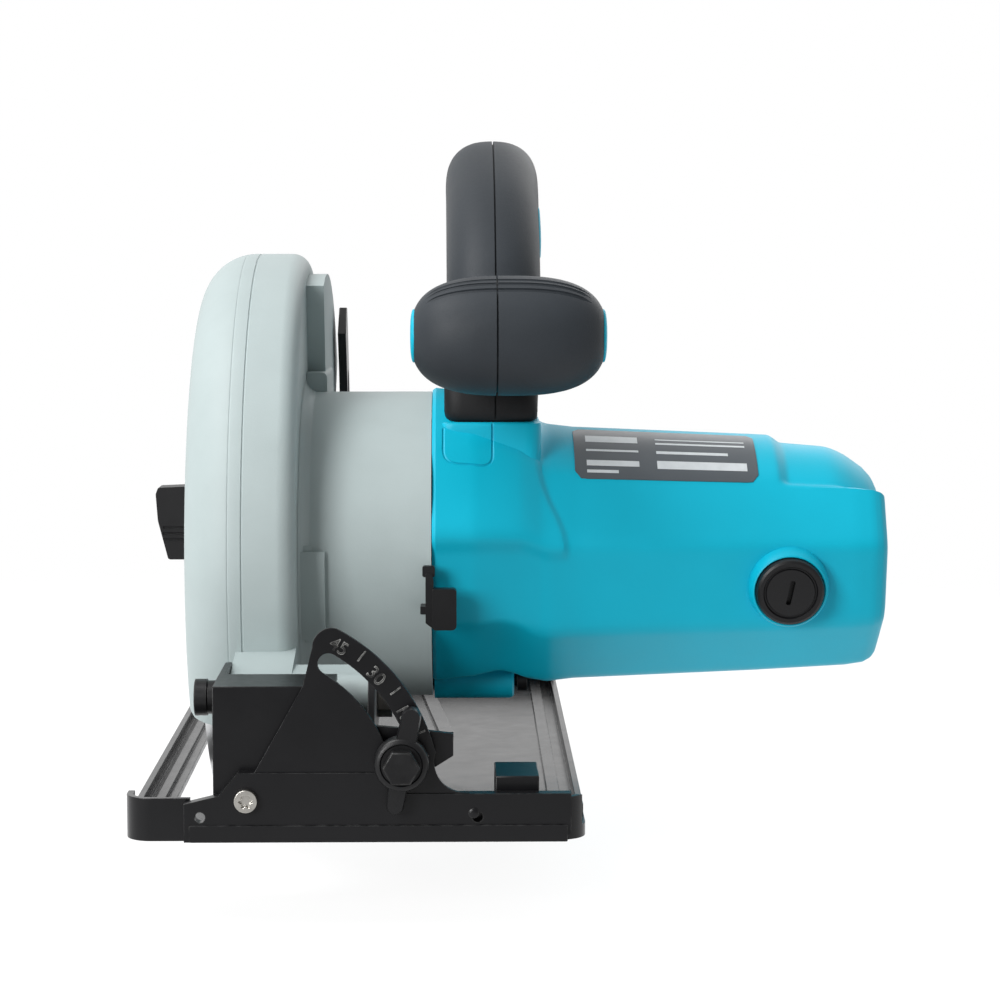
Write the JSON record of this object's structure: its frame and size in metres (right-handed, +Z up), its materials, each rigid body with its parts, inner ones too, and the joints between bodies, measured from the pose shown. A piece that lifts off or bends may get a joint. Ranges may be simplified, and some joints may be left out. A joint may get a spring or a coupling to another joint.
{
  "type": "circular saw",
  "caption": "Hand-held circular saw on a black bevelling base, grey blade case at its left, teal motor housing across, dark loop handle with a front grip.",
  "frame": {"origin": "middle of the base's sole, the flat underside that rides on the work", "axes": "+X along the spindle towards the motor's free end, +Y to the rear of the saw, +Z up from the sole"},
  "size_m": [0.255, 0.2946, 0.2402],
  "materials": {
    "black_enamel": "gloss black stoved enamel on pressed steel",
    "case_grey": "light grey fine textured paint on cast metal",
    "teal_plastic": "teal glass-filled nylon, satin",
    "grip_dark": "dark grey soft-touch plastic",
    "black_plastic": "black moulded plastic, satin",
    "zinc_steel": "bright zinc plate",
    "black_steel": "black oxide steel",
    "blade_steel": "ground saw steel with fine arcs",
    "guard_aluminium": "satin die-cast aluminium",
    "gear_steel": "oiled cut steel",
    "bearing_steel": "polished ring steel",
    "lamination": "stacked electrical steel",
    "copper": "enamelled copper",
    "carbon": "pressed carbon",
    "brass_part": "turned brass",
    "fan_plastic": "moulded nylon",
    "label_film": "dark printed film",
    "gland_rubber": "black rubber"
  },
  "bodies": {
    "base": {"base_plate": "black_enamel", "front_bevel_mount": "black_enamel", "bevel_scale_plate": "black_enamel", "front_pivot_rivet": "zinc_steel", "guide_bridge": "black_enamel", "rear_bevel_mount": "black_enamel", "rear_pivot_rivet": "zinc_steel"},
    "tilt": {"front_tilt_bracket": "black_enamel", "depth_pivot_pin": "black_steel", "depth_pivot_nut": "zinc_steel", "bevel_clamp_nut": "zinc_steel", "depth_guide": "black_enamel", "rear_tilt_plate": "black_enamel", "depth_guide_rivets": "zinc_steel"},
    "bevel_clamp": {"bevel_clamp_bolt": "black_steel", "bevel_clamp_lever": "black_plastic"},
    "saw": {"blade_case": "case_grey", "gear_housing": "case_grey", "bearing_plate": "guard_aluminium", "spindle_bearing": "bearing_steel", "bearing_retainer": "gear_steel", "spindle_bush": "brass_part", "armature_front_bearing": "bearing_steel", "housing_screws": "black_steel", "motor_housing": "teal_plastic", "brush_holders": "brass_part", "carbon_brushes": "carbon", "brush_caps": "black_plastic", "stator_core": "lamination", "field_coils": "copper", "air_baffle": "fan_plastic", "armature_rear_bearing": "bearing_steel", "label_plate": "label_film", "handle_left_half": "grip_dark", "handle_right_half": "grip_dark", "handle_screws": "black_steel", "pommel_inserts": "teal_plastic", "switch_body": "fan_plastic", "cord_gland": "gland_rubber", "depth_lock_bolt": "zinc_steel", "guard_snap_ring": "gear_steel", "guard_spring": "gear_steel"},
    "guard": {"lower_guard": "guard_aluminium", "guard_lever": "black_plastic", "guard_lever_screw": "zinc_steel"},
    "blade_drive": {"drive_gear": "gear_steel", "saw_blade": "blade_steel", "inner_flange": "gear_steel", "outer_flange": "zinc_steel", "blade_bolt": "black_steel", "spindle": "gear_steel"},
    "armature": {"armature_shaft": "gear_steel", "armature_core": "lamination", "commutator": "copper", "cooling_fan": "fan_plastic"},
    "depth_lock": {"depth_lever": "black_plastic"},
    "trigger_key": {"trigger": "black_plastic"},
    "lock_off": {"lock_off_button": "black_plastic"},
    "shaft_stop": {"shaft_lock": "black_plastic"}
  },
  "joints": [
    {"name": "bevel_tilt", "type": "hinge", "parent": "base", "child": "tilt", "pos_m": [-0.0323, 0, 0.0132], "axis": [0, -1, 0], "range_deg": [0, 45]},
    {"name": "bevel_clamp_turn", "type": "hinge", "parent": "tilt", "child": "bevel_clamp", "pos_m": [0.01393, -0.145, 0.02455], "axis": [0, -1, 0], "range_deg": [0, 70]},
    {"name": "depth_swing", "type": "hinge", "parent": "tilt", "child": "saw", "pos_m": [0, -0.105, 0.0374], "axis": [1, 0, 0], "range_deg": [-12.4, 12.6]},
    {"name": "depth_lever_turn", "type": "hinge", "parent": "saw", "child": "depth_lock", "pos_m": [0, 0.08857, 0.08566], "axis": [1, 0, 0], "range_deg": [-20, 70]},
    {"name": "guard_swing", "type": "hinge", "parent": "saw", "child": "guard", "pos_m": [0, 0.015, 0.0717], "axis": [1, 0, 0], "range_deg": [0, 130], "stiffness_Nm_per_rad": 0.1, "springref_deg": -114.59},
    {"name": "blade_spin", "type": "hinge", "parent": "saw", "child": "blade_drive", "pos_m": [0, 0.015, 0.0717], "axis": [1, 0, 0], "continuous": true},
    {"name": "armature_spin", "type": "hinge", "parent": "saw", "child": "armature", "pos_m": [0, -0.015, 0.0717], "axis": [1, 0, 0], "continuous": true},
    {"name": "trigger_pull", "type": "slide", "parent": "saw", "child": "trigger_key", "axis": [0, 0.7071, 0.7071], "range_m": [0, 0.0048], "stiffness_N_per_m": 600, "springref_m": -0.004},
    {"name": "lock_off_push", "type": "slide", "parent": "saw", "child": "lock_off", "axis": [1, 0, 0], "range_m": [0, 0.0025], "stiffness_N_per_m": 400, "springref_m": -0.003},
    {"name": "shaft_lock_press", "type": "slide", "parent": "saw", "child": "shaft_stop", "axis": [0, 1, 0], "range_m": [0, 0.0036], "stiffness_N_per_m": 400, "springref_m": -0.003}
  ],
  "couplings": [
    {"joint": "armature_spin", "follows": "blade_spin", "ratio": -5.25}
  ]
}
